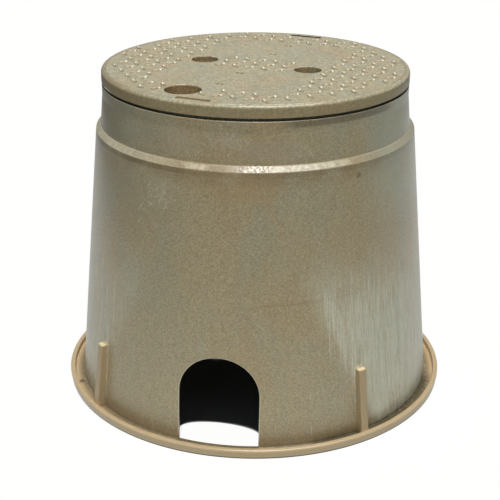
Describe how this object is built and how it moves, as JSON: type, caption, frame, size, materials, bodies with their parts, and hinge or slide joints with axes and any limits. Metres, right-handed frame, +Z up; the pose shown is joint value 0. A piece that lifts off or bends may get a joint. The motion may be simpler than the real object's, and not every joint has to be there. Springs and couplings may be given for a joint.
{
  "type": "irrigation valve box",
  "caption": "Round open-bottomed irrigation valve box with a flanged conical body, arch-topped pipe slots and a lift-off tread cover.",
  "frame": {"origin": "centre of the base flange's underside, where the box stands", "axes": "+Z up along the box's axis, -Y through the front pipe slot, +X to the right of that slot seen from the front"},
  "size_m": [0.3342, 0.3342, 0.2789],
  "materials": {
    "body_plastic": "sand-coloured moulded plastic, scuffed",
    "cover_plastic": "sand-coloured moulded plastic with raised tread"
  },
  "bodies": {
    "box": {"box_body": "body_plastic"},
    "lid": {"cover": "cover_plastic"}
  },
  "joints": [
    {"name": "cover_lift", "type": "slide", "parent": "box", "child": "lid", "axis": [0, 0, 1], "range_m": [0, 0.2]}
  ]
}
